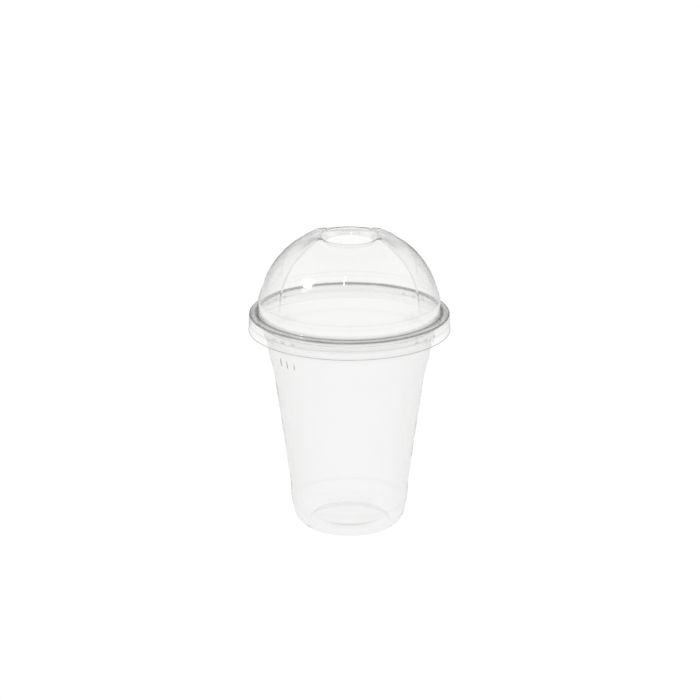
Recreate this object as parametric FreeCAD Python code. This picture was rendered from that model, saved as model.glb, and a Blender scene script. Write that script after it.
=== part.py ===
# A clear plastic drinks cup with a domed lid, for a cold drink of about 360 ml.
# Each of the two pieces is one thin sheet drawn into shape, so each is a shell of
# revolution about Z. The origin is the middle of the ring that the cup stands on,
# +Z is up, and every size is in millimetres.
import FreeCAD, Part
import math
import os

from FreeCAD import Vector

# Sheet thicknesses
CUP_WALL = 0.4
LID_WALL = 0.35

# Cup: foot and heel
FOOT_RADIUS = 22.4
FOOT_WIDTH = 2.3
FOOT_ROUND = 2.6
PANEL_LIFT = 3.8
PANEL_INSET = 1.7
PANEL_ROUND = 0.9
HEEL_RADIUS = 26.7
HEEL_HEIGHT = 4.2
HEEL_TOP_RADIUS = 28.55
HEEL_TOP = 11.8
HEEL_ROUND = 4.0

# Cup: waist band that a stack of cups seats on
WAIST_RADIUS = 29.1
WAIST_FLARE = 0.2
WAIST_LOW = 16.6
WAIST_HEIGHT = 5.6
WAIST_ROUND = 1.2

# Cup: tapered wall, shoulder and upper band
TAPER_TOP_RADIUS = 37.1
TAPER_TOP = 77.7
SHOULDER_RADIUS = 39.4
SHOULDER_TOP = 86.8
SHOULDER_ROUND = 3.0
BAND_TOP_RADIUS = 40.9
BAND_TOP = 95.6
NECK_RADIUS = 42.5
NECK_LOW = 99.9
NECK_TOP = 103.7
NECK_ROUND = 1.0

# Cup: rolled rim
CUP_HEIGHT = 109.5
RIM_RADIUS = 49.0
ROLL_RADIUS = 1.95
ROLL_END_ANGLE = -110.0

# Cup: three small upright lugs side by side on the upper band
BAND_LUG_AZIMUTHS = (-49.0,)
BAND_LUG_PITCH = 7.0
BAND_LUG_WIDTH = 1.6
BAND_LUG_HEIGHT = 3.4
BAND_LUG_LOW = 89.4
BAND_LUG_PROUD = 0.3

# Lid: seat on the rim and skirt around it
SEAT_CLEARANCE = 0.1
SKIRT_CLEARANCE = 0.15
SKIRT_DEPTH = 8.6
SKIRT_FLARE = 0.3
SKIRT_ROUND = 1.0
LIP_WIDTH = 0.2

# Lid: dome, from its root on the seat to its crown
DOME_RADIUS = 45.05
DOME_ROOT_ROUND = 0.9
DOME_WALL_HEIGHT = 6.9
DOME_WALL_LEAN = 0.05
DOME_WALL_ROUND = 4.0
DOME_SHOULDER_RADIUS = 38.8
DOME_SHOULDER_HEIGHT = 25.6
DOME_SHOULDER_ROUND = 33.0
CROWN_RADIUS = 23.4
CROWN_HEIGHT = 37.5
CROWN_ROUND = 10.0

# Lid: straw and spoon hole with its turned-down collar
HOLE_RADIUS = 11.4
LIP_RADIUS = 14.4
LIP_HEIGHT = 39.45
LIP_ROUND = 0.9
COLLAR_DEPTH = 3.05

# Lid: four groups of three snap lugs that grip under the rolled rim
SNAP_AZIMUTHS = (-41.0, 49.0, 139.0, 229.0)
SNAP_PITCH = 7.4
SNAP_WIDTH = 3.2
SNAP_HEIGHT = 2.0
SNAP_DROP = 5.2
SNAP_CLEARANCE = 0.08

# Seat height of the lid and the inside of its skirt, from the rim that carries it
FLANGE_TOP = CUP_HEIGHT + SEAT_CLEARANCE + LID_WALL
SKIRT_RADIUS = RIM_RADIUS + SKIRT_CLEARANCE + LID_WALL


def corner_arc(before, corner, after, radius):
    """The arc that rounds one corner of a line in the XZ plane."""
    back = (before - corner).normalize()
    onward = (after - corner).normalize()
    half = back.getAngle(onward) / 2
    reach = radius / math.tan(half)
    centre = corner + (back + onward).normalize() * (radius / math.sin(half))
    middle = centre + (corner - centre).normalize() * radius
    return corner + back * reach, middle, corner + onward * reach


def rounded_line(corners):
    """Edges through (radius, height, rounding) corners, with tangent arcs at the roundings."""
    points = [Vector(r, 0, z) for r, z, _ in corners]
    edges = []
    start = points[0]
    for i in range(1, len(points) - 1):
        rounding = corners[i][2]
        if rounding == 0:
            edges.append(Part.makeLine(start, points[i]))
            start = points[i]
            continue
        first, middle, last = corner_arc(points[i - 1], points[i], points[i + 1], rounding)
        edges.append(Part.makeLine(start, first))
        edges.append(Part.Arc(first, middle, last).toShape())
        start = last
    edges.append(Part.makeLine(start, points[-1]))
    return edges


def revolved_sheet(edges, wall):
    """A shell of one thickness, from the line of its outer face, turned about Z."""
    line = Part.Wire(edges)
    section = line.makeOffset2D(wall, fill=True, openResult=True)
    return section.revolve(Vector(0, 0, 0), Vector(0, 0, 1), 360)


def lug(section, azimuth, width):
    """A short length of a ring: a section in the XZ plane, turned about Z over its width.

    An azimuth of 0 faces -Y, and a positive one is towards +X.
    """
    radius = section[0][0]
    angle = math.degrees(width / radius)
    corners = [Vector(r, 0, z) for r, z in section]
    face = Part.Face(Part.makePolygon(corners + corners[:1]))
    solid = face.revolve(Vector(0, 0, 0), Vector(0, 0, 1), angle)
    solid.rotate(Vector(0, 0, 0), Vector(0, 0, 1), azimuth - 90 - angle / 2)
    return solid


def group_of_lugs(section, azimuths, pitch, width):
    """Three lugs side by side about each azimuth."""
    return [lug(section, azimuth + step * pitch, width) for azimuth in azimuths for step in (-1, 0, 1)]


def rolled_rim():
    """The edge of the sheet, rolled outward and down over the rim, as the line of its inner face."""
    centre = Vector(RIM_RADIUS - ROLL_RADIUS, 0, CUP_HEIGHT - ROLL_RADIUS)
    radius = ROLL_RADIUS - CUP_WALL

    def at(angle):
        turn = math.radians(angle)
        return centre + Vector(math.cos(turn), 0, math.sin(turn)) * radius

    return Part.Arc(at(180), at((180 + ROLL_END_ANGLE) / 2), at(ROLL_END_ANGLE)).toShape()


def band_radius(height):
    """Outer radius of the upper band at a height."""
    share = (height - SHOULDER_TOP) / (BAND_TOP - SHOULDER_TOP)
    return SHOULDER_RADIUS + share * (BAND_TOP_RADIUS - SHOULDER_RADIUS)


def make_cup():
    panel_radius = FOOT_RADIUS - FOOT_WIDTH - PANEL_INSET
    roll_foot = CUP_HEIGHT - ROLL_RADIUS
    mouth = RIM_RADIUS - 2 * ROLL_RADIUS + CUP_WALL
    edges = rounded_line([
        (0, PANEL_LIFT, 0),
        (panel_radius, PANEL_LIFT, PANEL_ROUND),
        (FOOT_RADIUS - FOOT_WIDTH, 0, PANEL_ROUND),
        (FOOT_RADIUS, 0, FOOT_ROUND),
        (HEEL_RADIUS, HEEL_HEIGHT, HEEL_ROUND),
        (HEEL_TOP_RADIUS, HEEL_TOP, HEEL_ROUND),
        (WAIST_RADIUS, WAIST_LOW, WAIST_ROUND),
        (WAIST_RADIUS + WAIST_FLARE, WAIST_LOW + WAIST_HEIGHT, WAIST_ROUND),
        (TAPER_TOP_RADIUS, TAPER_TOP, SHOULDER_ROUND),
        (SHOULDER_RADIUS, SHOULDER_TOP, SHOULDER_ROUND),
        (BAND_TOP_RADIUS, BAND_TOP, NECK_ROUND),
        (NECK_RADIUS, NECK_LOW, NECK_ROUND),
        (NECK_RADIUS, NECK_TOP, NECK_ROUND),
        (mouth, roll_foot - NECK_ROUND, NECK_ROUND),
        (mouth, roll_foot, 0),
    ])
    shell = revolved_sheet(edges + [rolled_rim()], CUP_WALL)

    low = BAND_LUG_LOW
    high = BAND_LUG_LOW + BAND_LUG_HEIGHT
    root = CUP_WALL / 2
    section = [
        (band_radius(low) - root, low),
        (band_radius(low) + BAND_LUG_PROUD, low + BAND_LUG_PROUD),
        (band_radius(high) + BAND_LUG_PROUD, high - BAND_LUG_PROUD),
        (band_radius(high) - root, high),
    ]
    lugs = group_of_lugs(section, BAND_LUG_AZIMUTHS, BAND_LUG_PITCH, BAND_LUG_WIDTH)
    return shell.fuse(lugs).removeSplitter()


def make_dome_lid():
    bottom = FLANGE_TOP - SKIRT_DEPTH
    skirt_foot = SKIRT_RADIUS + SKIRT_FLARE
    edges = rounded_line([
        (skirt_foot + LIP_WIDTH, bottom, 0),
        (skirt_foot, bottom + LIP_WIDTH, LIP_WIDTH),
        (SKIRT_RADIUS, FLANGE_TOP, SKIRT_ROUND),
        (DOME_RADIUS, FLANGE_TOP, DOME_ROOT_ROUND),
        (DOME_RADIUS - DOME_WALL_LEAN, FLANGE_TOP + DOME_WALL_HEIGHT, DOME_WALL_ROUND),
        (DOME_SHOULDER_RADIUS, FLANGE_TOP + DOME_SHOULDER_HEIGHT, DOME_SHOULDER_ROUND),
        (CROWN_RADIUS, FLANGE_TOP + CROWN_HEIGHT, CROWN_ROUND),
        (LIP_RADIUS, FLANGE_TOP + LIP_HEIGHT, LIP_ROUND),
        (HOLE_RADIUS, FLANGE_TOP + LIP_HEIGHT - COLLAR_DEPTH, 0),
    ])
    shell = revolved_sheet(edges, LID_WALL)

    middle = FLANGE_TOP - SNAP_DROP
    inside = SKIRT_RADIUS + SKIRT_FLARE * SNAP_DROP / SKIRT_DEPTH - LID_WALL / 2
    tip = RIM_RADIUS + SNAP_CLEARANCE
    section = [
        (inside, middle - SNAP_HEIGHT / 2),
        (inside, middle + SNAP_HEIGHT / 2),
        (tip, middle + SNAP_HEIGHT / 4),
        (tip, middle - SNAP_HEIGHT / 4),
    ]
    lugs = group_of_lugs(section, SNAP_AZIMUTHS, SNAP_PITCH, SNAP_WIDTH)
    return shell.fuse(lugs).removeSplitter()


os.makedirs("parts", exist_ok=True)
pieces = {"cup": make_cup(), "dome_lid": make_dome_lid()}
for name, shape in pieces.items():
    shape.exportStep(f"parts/{name}.step")
    box = shape.BoundBox
    print(name, shape.isValid(), len(shape.Solids), round(shape.Volume, 1),
          [round(v, 2) for v in (box.XMin, box.XMax, box.ZMin, box.ZMax)])
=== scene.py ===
import math

import bmesh
import bpy
from mathutils import Matrix, Vector


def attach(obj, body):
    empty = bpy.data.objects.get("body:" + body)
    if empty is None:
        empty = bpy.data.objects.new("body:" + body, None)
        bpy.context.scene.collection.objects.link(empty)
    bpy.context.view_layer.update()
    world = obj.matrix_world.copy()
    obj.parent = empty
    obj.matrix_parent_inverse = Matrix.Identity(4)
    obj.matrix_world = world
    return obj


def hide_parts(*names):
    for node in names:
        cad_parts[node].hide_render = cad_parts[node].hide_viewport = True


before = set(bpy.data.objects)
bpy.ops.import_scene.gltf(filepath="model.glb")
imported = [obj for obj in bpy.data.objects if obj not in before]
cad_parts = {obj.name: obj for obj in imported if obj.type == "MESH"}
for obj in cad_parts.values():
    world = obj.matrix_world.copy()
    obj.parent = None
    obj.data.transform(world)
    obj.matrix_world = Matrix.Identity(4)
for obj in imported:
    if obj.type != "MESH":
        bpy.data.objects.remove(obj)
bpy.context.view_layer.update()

MM = 0.001


# Cup: one sheet of clear PET, 0.4 mm thick, drawn down into a tapered cup with a raised
# base panel, a waist band, a shoulder and an upper band. Its edge is heated and rolled
# outward into the rim, and three small upright lugs stand side by side on the band.
CUP_WALL = 0.4
CUP_HEIGHT = 109.5
RIM_RADIUS = 49.0
ROLL_RADIUS = 1.95
ROLL_TURN = 215.0
MOUTH_RADIUS = RIM_RADIUS - 2 * ROLL_RADIUS + CUP_WALL
ROLL_HEIGHT = CUP_HEIGHT - ROLL_RADIUS
CUP_AROUND = 360
CUP_STEP = 3.0
ARC_STEP = math.radians(7)
TOUCHING = 0.01
SHARP = math.radians(35)
CUT_THINNED = 0.65
BAND_LUG_AZIMUTHS = (-56.0, -49.0, -42.0)
BAND_LUG_WIDTH = 1.9
BAND_LUG_SPAN = (89.4, 92.8)
BAND_LUG_PROUD = 0.45

# Where the sheet is greyer, partly for thicker sheet and partly as painted shade along its bends:
# middle and reach in mm, and how much
NECK_FOLD = (98.2, 1.1, 0.07)
HEEL_FOLD = (12.2, 0.9, 0.05)
FOOT_FOLD = (6.0, 1.6, 0.04)
# The panel's corner is painted darker on the front side alone: a painted shade.
PANEL_FRONT_SHADE = (16.8, 1.0, 0.42)
PANEL_FRONT_POWER = 8
PANEL_GREY = 0.015
PANEL_RADIUS = 17.0
BAND_LUG_GREY = 0.4

# Where the heel's folds end upwards and inwards, and the lowest height of the base panel
HEEL_END = 30.0
HEEL_INSIDE = 24.0
PANEL_LOW = 3.0

# Where the painted outline shade is held off: below the roll in mm, and over the base as for a fold
CLEAR_BELOW_ROLL = 1.5
BASE_CLEAR = (0.0, 14.0, 0.9)

# Corners of the outer face, from the middle of the base up: radius, height, rounding
CUP_CORNERS = [
    (0, 3.8, 0),
    (18.4, 3.8, 2.8),
    (20.1, 0, 1.5),
    (22.4, 0, 2.6),
    (26.7, 4.2, 4.0),
    (28.55, 11.8, 4.0),
    (29.1, 16.6, 1.2),
    (29.3, 22.2, 1.2),
    (37.1, 77.7, 3.0),
    (39.4, 86.8, 3.0),
    (39.758, 88.9, 0),
    (39.843, 89.4, 0),
    (40.423, 92.8, 0),
    (40.508, 93.3, 0),
    (40.9, 95.6, 1.0),
    (42.5, 99.9, 1.0),
    (42.5, 103.7, 1.0),
    (MOUTH_RADIUS, ROLL_HEIGHT - 1.0, 1.0),
    (MOUTH_RADIUS, ROLL_HEIGHT, 0),
]


def drawn_line(corners, longest):
    """A bmesh of one line in the XZ plane, with rounded corners and no step over longest mm."""
    bm = bmesh.new()
    verts = [bm.verts.new((r * MM, 0, z * MM)) for r, z, _ in corners]
    for a, b in zip(verts, verts[1:]):
        bm.edges.new((a, b))
    places = [v.co.copy() for v in verts]
    for i in range(1, len(corners) - 1):
        rounding = corners[i][2] * MM
        turn = (places[i] - places[i - 1]).angle(places[i + 1] - places[i])
        if rounding and turn:
            bmesh.ops.bevel(bm, geom=[verts[i]], offset=rounding * math.tan(turn / 2),
                            affect="VERTICES", segments=max(2, math.ceil(turn / ARC_STEP)),
                            profile=0.5, material=-1)
    for edge in list(bm.edges):
        cuts = int(edge.calc_length() / (longest * MM))
        if cuts:
            bmesh.ops.subdivide_edges(bm, edges=[edge], cuts=cuts)
    return bm


def spun_skin(bm, name, steps):
    """The line in bm turned about Z into a skin that faces outward, for a new object."""
    bmesh.ops.spin(bm, geom=bm.verts[:] + bm.edges[:], cent=(0, 0, 0), axis=(0, 0, 1),
                   dvec=(0, 0, 0), angle=math.tau, steps=steps, use_merge=True,
                   use_duplicate=False)
    bmesh.ops.remove_doubles(bm, verts=bm.verts[:], dist=TOUCHING * MM)
    bmesh.ops.recalc_face_normals(bm, faces=bm.faces[:])
    heights = [v.co.z for v in bm.verts]
    middle = (min(heights) + max(heights)) / 2
    side = min(bm.faces, key=lambda f: abs(f.calc_center_median().z - middle))
    if side.normal.xy.dot(side.calc_center_median().xy) < 0:
        bmesh.ops.reverse_faces(bm, faces=bm.faces[:])
    mesh = bpy.data.meshes.new(name)
    piece = bpy.data.objects.new(name, mesh)
    bpy.context.collection.objects.link(piece)
    return piece


def where(co):
    """A place on the piece: its radius and height in mm, and its azimuth between them.

    The azimuth is in degrees from -Y towards +X.
    """
    return math.hypot(co.x, co.y) / MM, math.degrees(math.atan2(co.x, -co.y)), co.z / MM


def press(bm, rise):
    """Moves each vertex along its normal by rise(radius, azimuth, height), in millimetres."""
    bm.normal_update()
    for v in bm.verts:
        v.co += v.normal * (rise(*where(v.co)) * MM)


def bump(distance, half_width):
    """A smooth hill: 1 at distance 0, falling to 0 at half_width."""
    return 0.5 + 0.5 * math.cos(math.pi * min(1, abs(distance) / half_width))


def hill(place, middle, reach, amount):
    """A smooth hill of an amount at its middle, with its reach to each side."""
    return amount * bump(place - middle, reach)


def turned(azimuth, other):
    """The signed angle from one azimuth to another, in degrees."""
    return (azimuth - other + 180) % 360 - 180


def way_round(radius, azimuth, middles):
    """Millimetres round the axis from a place to the nearest of some azimuths."""
    return math.radians(min(abs(turned(azimuth, middle)) for middle in middles)) * radius


def band_lugs(radius, azimuth, height):
    """How far the upper band stands proud: in three small lugs, and nowhere else."""
    low, high = BAND_LUG_SPAN
    if not low - TOUCHING < height < high + TOUCHING:
        return 0
    away = way_round(radius, azimuth, BAND_LUG_AZIMUTHS)
    return BAND_LUG_PROUD * bump(away, BAND_LUG_WIDTH / 2)


def give_wall(bm, wall):
    """Gives the skin its wall on the inside, smooth, and thins it to a crisp cut edge."""
    bmesh.ops.solidify(bm, geom=bm.faces[:], thickness=wall * MM)
    bmesh.ops.recalc_face_normals(bm, faces=bm.faces[:])
    for face in bm.faces:
        face.smooth = True
    cut = [edge for edge in bm.edges if edge.calc_face_angle(0) > SHARP]
    for edge in cut:
        edge.smooth = False
    at_cut = {v for edge in cut for v in edge.verts}
    for edge in [e for e in bm.edges
                 if e.smooth and e.verts[0] in at_cut and e.verts[1] in at_cut]:
        middle = (edge.verts[0].co + edge.verts[1].co) / 2
        for v in edge.verts:
            v.co = v.co.lerp(middle, CUT_THINNED)


def note_sheet(bm, name, amount):
    """Keeps an amount(radius, azimuth, height), 0 to 1, at each vertex for the material."""
    layer = bm.verts.layers.float.new(name)
    for v in bm.verts:
        v[layer] = amount(*where(v.co))


def cup_folds_and_shade(radius, azimuth, height):
    """Grey at the neck's foot, the lugs, the heel and the panel, partly for thicker sheet and
    partly as painted shade along the bends.

    The panel's corner has painted shade on the front side alone, and its flat middle is hardly
    grey.
    """
    if height > HEEL_END:
        return BAND_LUG_GREY * band_lugs(radius, azimuth, height) + hill(height, *NECK_FOLD)
    if radius > HEEL_INSIDE:
        return hill(height, *HEEL_FOLD) + hill(height, *FOOT_FOLD)
    if height <= PANEL_LOW:
        return 0
    front = 0.5 + 0.5 * math.cos(math.radians(azimuth))
    corner = front ** PANEL_FRONT_POWER * hill(radius, *PANEL_FRONT_SHADE)
    return corner + PANEL_GREY * (radius < PANEL_RADIUS)


def cup_outline_clear(radius, azimuth, height):
    """Where the painted shade towards the outline is held off: all of it over the roll and just
    below it, and most of it over the base, fading out by 14 mm up.
    """
    if radius > MOUTH_RADIUS or height > ROLL_HEIGHT - CLEAR_BELOW_ROLL:
        return 1.0
    return hill(height, *BASE_CLEAR)


class Signal:
    """An output socket of a material's nodes, so that shader maths reads as an expression."""

    def __init__(self, tree, socket=None):
        self.tree = tree
        self.socket = socket

    def node(self, kind, settings, inputs, output=0):
        made = self.tree.nodes.new(kind)
        for name, value in settings.items():
            setattr(made, name, value)
        for name, value in inputs.items():
            if isinstance(value, Signal):
                self.tree.links.new(value.socket, made.inputs[name])
            else:
                made.inputs[name].default_value = value
        return Signal(self.tree, made.outputs[output]) if made.outputs else made

    def mix(self, factor, first, second):
        """Two colours mixed, each one a link or three numbers.

        The colour sockets of a Mix node are 6 and 7.
        """
        first, second = (c if isinstance(c, Signal) else (*c, 1) for c in (first, second))
        return self.node("ShaderNodeMix", {"data_type": "RGBA"},
                         {0: factor, 6: first, 7: second}, output=2)

    def maths(self, operation, first, second):
        return self.node("ShaderNodeMath", {"operation": operation}, {0: first, 1: second})

    def __add__(self, other):
        return self.maths("ADD", self, other)

    def __mul__(self, other):
        return self.maths("MULTIPLY", self, other)

    def __rmul__(self, other):
        return self.maths("MULTIPLY", other, self)

    def __rsub__(self, other):
        return self.maths("SUBTRACT", other, self)

    def __pow__(self, other):
        return self.maths("POWER", self, other)


PET_IOR = 1.57
PET_ROUGHNESS = 0.02
# The dark warm grey of the noted marks: partly thicker sheet, partly painted shade along bends,
# creases and dents.
PET_FOLD_SHADE = (0.32, 0.31, 0.29)
RIPPLE = 0.05
RIPPLE_RINGS = (60, 60, 260)
RIPPLE_RINGS_SHARE = 0.5
RIPPLE_SOFT = 45.0


def clear_plastic(name, clear, edge, outline_shade_power):
    """Clear glossy sheet: light passes and bends, and painted shade darkens every form towards
    its outline, standing in for the dark reflections seen there at grazing angles; the marks
    noted in the mesh turn grey, partly for thicker sheet at folds and partly as painted shade
    along bends, creases and dents; and faint ripples are left by the mould."""
    material = bpy.data.materials.new(name)
    material.use_nodes = True
    tree = material.node_tree
    tree.nodes.clear()
    start = Signal(tree)

    place = start.node("ShaderNodeTexCoord", {}, {}, output="Object")
    drawn = start.node("ShaderNodeMapping", {}, {"Vector": place, "Scale": RIPPLE_RINGS})
    rings = start.node("ShaderNodeTexNoise", {}, {"Vector": drawn, "Scale": 1.0, "Detail": 2.0})
    soft = start.node("ShaderNodeTexNoise", {},
                      {"Vector": place, "Scale": RIPPLE_SOFT, "Detail": 1.0})
    height = rings * RIPPLE_RINGS_SHARE + soft
    waves = start.node("ShaderNodeBump", {},
                       {"Height": height, "Strength": 1.0, "Distance": RIPPLE * MM})

    facing = start.node("ShaderNodeLayerWeight", {}, {"Blend": 0.5}, output="Facing")
    fold_and_shade = start.node("ShaderNodeAttribute", {"attribute_name": "fold_and_shade"}, {}, output="Fac")
    outline_clear = start.node("ShaderNodeAttribute", {"attribute_name": "outline_clear"}, {}, output="Fac")
    # Painted shade: the colour darkens towards the outline in place of dark reflections at grazing
    # angles, less where the outline is kept clear.
    colour = start.mix(facing ** outline_shade_power * (1 - outline_clear), clear, edge)
    # Painted shade and thicker sheet: the marks noted in the mesh turn the colour towards a dark
    # warm grey.
    colour = start.mix(fold_and_shade, colour, PET_FOLD_SHADE)
    shader = start.node("ShaderNodeBsdfPrincipled", {}, {
        "Base Color": colour, "Transmission Weight": 1.0, "IOR": PET_IOR,
        "Roughness": PET_ROUGHNESS, "Normal": waves})
    start.node("ShaderNodeOutputMaterial", {}, {"Surface": shader})
    return material


line = drawn_line(CUP_CORNERS, CUP_STEP)
mouth = max(line.verts, key=lambda v: v.co.z)
roll_centre = ((RIM_RADIUS - ROLL_RADIUS) * MM, 0, ROLL_HEIGHT * MM)
bmesh.ops.spin(line, geom=[mouth], cent=roll_centre, axis=(0, 1, 0), dvec=(0, 0, 0),
               angle=math.radians(ROLL_TURN),
               steps=math.ceil(math.radians(ROLL_TURN) / ARC_STEP / 2),
               use_merge=False, use_duplicate=False)
cup = spun_skin(line, "clear_cup", CUP_AROUND)
press(line, band_lugs)
give_wall(line, CUP_WALL)
note_sheet(line, "fold_and_shade", cup_folds_and_shade)
note_sheet(line, "outline_clear", cup_outline_clear)
line.to_mesh(cup.data)
line.free()
# The cup's colour darkens a little towards its outline: a painted shade.
cup.data.materials.append(clear_plastic(
    "cup_pet", clear=(0.955, 0.955, 0.955), edge=(0.85, 0.85, 0.84), outline_shade_power=1.3))
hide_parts("cup")
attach(cup, "cup")


# Dome lid: one sheet of clear PET, 0.35 mm thick, drawn up into a dome whose four soft
# creases end in the corners of its crown, over a flat seat and a skirt. The straw hole is
# cut out and its edge turned down, and groups of lugs in the skirt grip under the rim.
LID_WALL = 0.35
LID_STEP = 1.5
LID_AROUND = 480
SEAT_CLEARANCE = 0.1
SKIRT_CLEARANCE = 0.15
SEAT = CUP_HEIGHT + SEAT_CLEARANCE + LID_WALL
SKIRT_DEPTH = 8.6
SKIRT_RADIUS = RIM_RADIUS + SKIRT_CLEARANCE + LID_WALL
SKIRT_FLARE = 0.3
SKIRT_FOOT = SKIRT_RADIUS + SKIRT_FLARE
SKIRT_TOP = SEAT - 1
LIP_WIDTH = 0.2
BEAD_ROWS = (5.0, 4.5, 4.0)
DOME_LOW = SEAT + 6.9
DOME_FLATTENED = 0.08
RING_TOP = SEAT + 39.45
RING_RADIUS = 14.4
RING_EDGE = RING_RADIUS + 1
HOLE_RADIUS = 11.4
COLLAR_DEPTH = 3.05
CREASES = (-54.0, 54.0, 126.0, -126.0)
CREASE_SPREAD = 4.0
CREASE_PROUD = 0.6
CREASE_REACH = 6.0
CREASE_FULL = 0.25
CREASE_FADE = 3.0
SNAP_AZIMUTHS = (-41.0, 49.0, 139.0, 229.0)
SNAP_PITCH = 7.4
SNAP_LUGS = [middle + step * SNAP_PITCH for middle in SNAP_AZIMUTHS for step in (-1, 0, 1)]
SNAP_WIDTH = 4.0
SNAP_HEIGHT = 2.4
SNAP_DROP = 5.2
SNAP_DEPTH = 0.5

# Crown: radius of its corners, how high they rise, and their reach inwards and outwards;
# then the drop of the sides and the hollow below the corners, as middle, reach and depth
CROWN_CORNER = 16.6
CROWN_CORNER_RISE = 1.1
CROWN_CORNER_REACH = (2.4, 6.0)
CROWN_SIDE = (22.5, 7.0, 1.7)
CROWN_HOLLOW = (25.0, 7.5, 0.5)

# Where the sheet is greyer, partly for thicker sheet and partly as painted shade along its bends
# and dents: middle and reach in mm, and how much
SEAT_EDGE = (SKIRT_RADIUS - 0.3, SEAT - 0.3)
SEAT_EDGE_FOLD = (0.0, 1.0, 0.75)
SEAT_ROOT = (45.7, SEAT)
SEAT_ROOT_FOLD = (0.0, 1.3, 0.85)
SEAT_SHEET = 0.8
SEAT_GREY = 0.22
BEAD_FOLD = (SEAT - BEAD_ROWS[1], 0.9, 0.28)
# The shaded upper slope of each lug's dent, painted as a dark dash: a painted shade.
SNAP_DENT_SHADE = (SEAT - 3.8, 1.3, 0.4)
BEND_FOLD = (DOME_LOW, 0.8, 0.10)
WALL_FOLD = (DOME_LOW - 2.3, 1.2, 0.06)
CREASE_FOLD = (0.0, 1.1, 0.24)
CREASE_FOLD_FULL = 0.2
RING_FOLD = (RING_TOP, 1.0, 0.12)

# Where the folds of the seat and skirt end, and where the thin sheet of the dome begins
SEAT_INSIDE = 44.0
SEAT_END = SEAT + 2
DOME_START = SEAT + 1

# Where the painted outline shade is held off: the dome's lower wall, and the hole's collar as for a
# fold
WALL_CLEAR = 0.65
WALL_CLEAR_TOP = 138.0
WALL_CLEAR_FADE = 13.0
COLLAR_CLEAR = (RING_TOP, 4.0, 0.9)
COLLAR_RADIUS = RING_RADIUS + 4

# Corners of the outer face, from the skirt's lip to the hole: radius, height, rounding
LID_CORNERS = [
    (SKIRT_FOOT + LIP_WIDTH, SEAT - SKIRT_DEPTH, 0),
    (SKIRT_FOOT, SEAT - SKIRT_DEPTH + LIP_WIDTH, LIP_WIDTH),
    *((SKIRT_RADIUS + SKIRT_FLARE * drop / (SKIRT_DEPTH - LIP_WIDTH), SEAT - drop, 0)
      for drop in BEAD_ROWS),
    (SKIRT_RADIUS, SEAT, 1.0),
    (45.05, SEAT, 0.9),
    (45.0, DOME_LOW, 4.0),
    (38.8, SEAT + 25.6, 33.0),
    (23.4, SEAT + 37.5, 10.0),
    (RING_RADIUS, RING_TOP, 0.9),
    (HOLE_RADIUS, RING_TOP - COLLAR_DEPTH, 0),
]


def dome_share(height):
    """How far up the dome a height is: 0 at the bend above the seat, 1 at the hole's ring."""
    return min(1, max(0, (height - DOME_LOW) / (RING_TOP - DOME_LOW)))


def spread_at(azimuth, share):
    """Degrees by which the creases run apart, at an azimuth and a share of the dome's height."""
    return CREASE_SPREAD * (2 * share - 1) * math.sin(math.radians(2 * azimuth))


def spread_creases(bm):
    """Slides the skin round the axis a little, so that the creases run apart to the top."""
    for v in bm.verts:
        radius, azimuth, height = where(v.co)
        if height > DOME_LOW:
            slide = math.radians(spread_at(azimuth, dome_share(height)))
            v.co.rotate(Matrix.Rotation(slide, 3, "Z"))


def from_crease(radius, azimuth, share):
    """Millimetres round the dome to the nearest crease, at a share of the dome's height."""
    return way_round(radius, azimuth, [crease + spread_at(crease, share) for crease in CREASES])


def snap_share(radius, azimuth):
    """How far a place on the skirt lies into a snap lug: 1 in its middle, 0 beside it."""
    return bump(way_round(radius, azimuth, SNAP_LUGS), SNAP_WIDTH / 2)


def dome_and_snaps(radius, azimuth, height):
    """The dome is proud at its creases and flatter between; the skirt is dented at its lugs."""
    if height < SKIRT_TOP:
        dent = snap_share(radius, azimuth) * bump(height - (SEAT - SNAP_DROP), SNAP_HEIGHT / 2)
        return -SNAP_DEPTH * dent
    share = dome_share(height)
    if not share or radius < RING_EDGE:
        return 0
    fade = min(1, share / CREASE_FULL) * min(1, (radius - RING_EDGE) / CREASE_FADE)
    away = from_crease(radius, azimuth, share)
    return fade * (CREASE_PROUD * math.exp(-away / CREASE_REACH) - DOME_FLATTENED)


def square_crown(bm):
    """Draws the round crown out to four corners, where the creases end, between flatter sides."""
    for v in bm.verts:
        radius, azimuth, height = where(v.co)
        share = dome_share(height)
        if share and radius > RING_EDGE:
            away = from_crease(radius, azimuth, share)
            corner = math.exp(-(away / CREASE_REACH) ** 2)
            reach = CROWN_CORNER_REACH[radius >= CROWN_CORNER]
            rise = hill(radius, CROWN_CORNER, reach, CROWN_CORNER_RISE)
            rise -= hill(radius, *CROWN_HOLLOW)
            drop = hill(radius, *CROWN_SIDE)
            v.co.z += MM * (corner * rise - (1 - corner) * drop)


def lid_folds_and_shade(radius, azimuth, height):
    """Grey at both edges of the seat and over it, at the skirt's bead and lugs, the dome's bend,
    the creases and the ring: partly for thicker sheet and partly as painted shade along these bends
    and dents."""
    if radius > SEAT_INSIDE and height < SEAT_END:
        outer = hill(math.dist((radius, height), SEAT_EDGE), *SEAT_EDGE_FOLD)
        root = hill(math.dist((radius, height), SEAT_ROOT), *SEAT_ROOT_FOLD)
        seat = SEAT_GREY * (height > SEAT - SEAT_SHEET)
        snaps = snap_share(radius, azimuth) * hill(height, *SNAP_DENT_SHADE)
        return outer + root + seat + hill(height, *BEAD_FOLD) + snaps
    if radius < RING_EDGE:
        return hill(height, *RING_FOLD)
    share = dome_share(height)
    crease = hill(from_crease(radius, azimuth, share), *CREASE_FOLD)
    bend = hill(height, *BEND_FOLD) + hill(height, *WALL_FOLD)
    return bend + min(1, share / CREASE_FOLD_FULL) * crease


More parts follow.
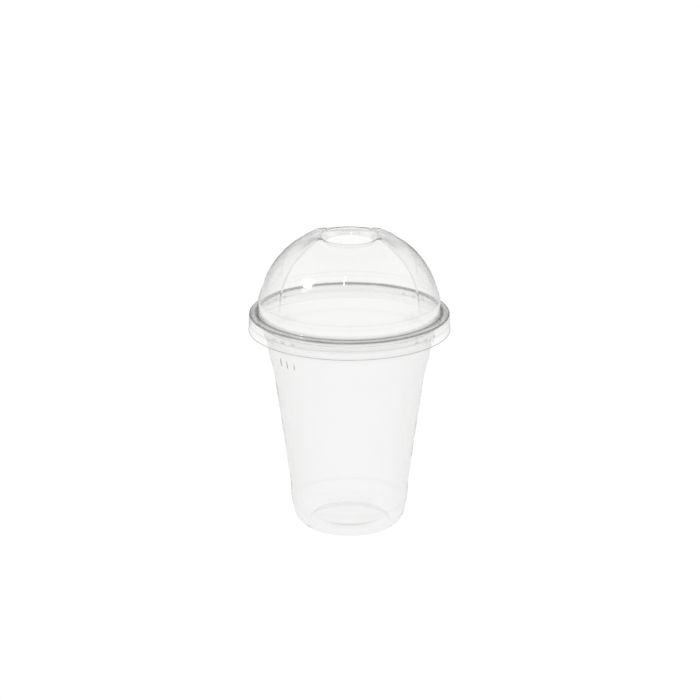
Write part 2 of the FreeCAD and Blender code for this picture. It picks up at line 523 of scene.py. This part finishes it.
def lid_outline_clear(radius, azimuth, height):
    """Where the painted shade towards the outline is held off: partly in the dome's lower wall,
    fading out higher up, and at the hole's collar.
    """
    if radius < COLLAR_RADIUS:
        return hill(height, *COLLAR_CLEAR)
    if height <= DOME_START:
        return 0.0
    return WALL_CLEAR * min(1, max(0, (WALL_CLEAR_TOP - height) / WALL_CLEAR_FADE))


line = drawn_line(LID_CORNERS, LID_STEP)
lid = spun_skin(line, "clear_dome_lid", LID_AROUND)
spread_creases(line)
square_crown(line)
press(line, dome_and_snaps)
give_wall(line, LID_WALL)
note_sheet(line, "fold_and_shade", lid_folds_and_shade)
note_sheet(line, "outline_clear", lid_outline_clear)
line.to_mesh(lid.data)
line.free()
# The lid's colour goes almost black at its outline: a painted shade for the dark reflections seen
# at grazing angles.
lid.data.materials.append(clear_plastic(
    "lid_pet", clear=(0.975, 0.975, 0.97), edge=(0.05, 0.05, 0.05), outline_shade_power=8.0))
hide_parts("dome_lid")
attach(lid, "lid")


# Studio: a floor and a backdrop of glowing white, as for a catalogue picture of clear ware.
# Reflections see a room in their place: dark behind, light grey above and on the viewer's
# side, with a light table below. The backdrop ends 45 degrees up and is gone by 80.
FLOOR_SIZE = 8.0
WHITE = 1.02
ROOM_FRONT = (0, -0.7, 0.71)
ROOM_TURN = (-0.5, 0.6)
ROOM_DARK = 0.12
ROOM_LIGHT = 0.60
TABLE_TURN = (-0.02, -0.30)
TABLE_LIGHT = 0.80
BACKDROP_TURN = (math.sin(math.radians(45)), math.sin(math.radians(80)))

bm = bmesh.new()
bmesh.ops.create_grid(bm, x_segments=1, y_segments=1, size=FLOOR_SIZE / 2)
floor_mesh = bpy.data.meshes.new("floor")
bm.to_mesh(floor_mesh)
bm.free()
floor = bpy.data.objects.new("floor", floor_mesh)
bpy.context.collection.objects.link(floor)
floor_material = bpy.data.materials.new("floor")
floor_material.use_nodes = True
floor_tree = floor_material.node_tree
floor_tree.nodes.clear()
glow = Signal(floor_tree).node("ShaderNodeEmission", {}, {"Color": (1, 1, 1, 1), "Strength": WHITE})
Signal(floor_tree).node("ShaderNodeOutputMaterial", {}, {"Surface": glow})
floor_material.cycles.emission_sampling = "NONE"
floor_mesh.materials.append(floor_material)
floor.visible_glossy = False


def smooth_ramp(value, ends, low, high):
    """A smooth ramp from low to high, while the value goes from the first end to the last."""
    return value.node("ShaderNodeMapRange", {"interpolation_type": "SMOOTHSTEP"},
                      {"Value": value, "From Min": ends[0], "From Max": ends[1],
                       "To Min": low, "To Max": high})


world = bpy.data.worlds.new("room")
world.use_nodes = True
room_tree = world.node_tree
room_tree.nodes.clear()
room = Signal(room_tree)
direction = room.node("ShaderNodeTexCoord", {}, {}, output="Generated")
frontness = room.node("ShaderNodeVectorMath", {"operation": "DOT_PRODUCT"},
                      {0: direction, 1: ROOM_FRONT}, output="Value")
height = room.node("ShaderNodeSeparateXYZ", {}, {"Vector": direction}, output="Z")
table = smooth_ramp(height, TABLE_TURN, 0.0, TABLE_LIGHT)
walls = smooth_ramp(frontness, ROOM_TURN, ROOM_DARK, ROOM_LIGHT)
walls = walls.maths("MAXIMUM", walls, table)
backdrop = smooth_ramp(height, BACKDROP_TURN, 1.0, 0.0)
reflected = room.node("ShaderNodeLightPath", {}, {}, output="Is Reflection Ray")
white = backdrop * (1 - reflected)
light = room.node("ShaderNodeBackground", {}, {"Color": walls + white * (WHITE - walls)})
room.node("ShaderNodeOutputWorld", {}, {"Surface": light})
bpy.context.scene.world = world

# Soft boxes: shape, width in metres, watts and place; the strip's length is its own
SOFT_BOXES = {
    "soft_box": ("DISK", 0.30, 2.8, (-1.10, -0.34, 1.10)),
    "soft_box_glow": ("DISK", 0.50, 1.2, (-1.12, -0.34, 1.09)),
    "light_strip": ("RECTANGLE", 0.05, 1.1, (-0.145, -0.746, 1.446)),
}
STRIP_LENGTH = 0.42
LIGHTS_AIM = Vector((0, 0, 0.13))
for name, (form, width, watts, place) in SOFT_BOXES.items():
    light = bpy.data.lights.new(name, "AREA")
    light.shape = form
    light.size = width
    if form == "RECTANGLE":
        light.size_y = STRIP_LENGTH
    light.energy = watts
    holder = bpy.data.objects.new(name, light)
    bpy.context.collection.objects.link(holder)
    holder.location = place
    holder.visible_transmission = False
    holder.rotation_euler = (LIGHTS_AIM - holder.location).to_track_quat("-Z", "Y").to_euler()

CAMERA_DISTANCE = 2.5
CAMERA_ELEVATION = math.radians(18.4)
PIXELS_PER_METRE = 2020
PICTURE_WIDTH = 700
SENSOR_WIDTH = 36
AIM = Vector((0.0003, 0, 0.0900))
camera_data = bpy.data.cameras.new("camera")
camera_data.sensor_width = SENSOR_WIDTH
camera_data.lens = PIXELS_PER_METRE * CAMERA_DISTANCE * SENSOR_WIDTH / PICTURE_WIDTH
camera_data.clip_end = 50
camera = bpy.data.objects.new("camera", camera_data)
bpy.context.collection.objects.link(camera)
back = Vector((0, -math.cos(CAMERA_ELEVATION), math.sin(CAMERA_ELEVATION)))
camera.location = AIM + back * CAMERA_DISTANCE
camera.rotation_euler = (-back).to_track_quat("-Z", "Y").to_euler()
bpy.context.scene.camera = camera

scene = bpy.context.scene
scene.view_settings.view_transform = "Standard"
scene.cycles.max_bounces = 32
scene.cycles.transmission_bounces = 32
scene.cycles.glossy_bounces = 16
scene.cycles.caustics_reflective = False
scene.cycles.caustics_refractive = False
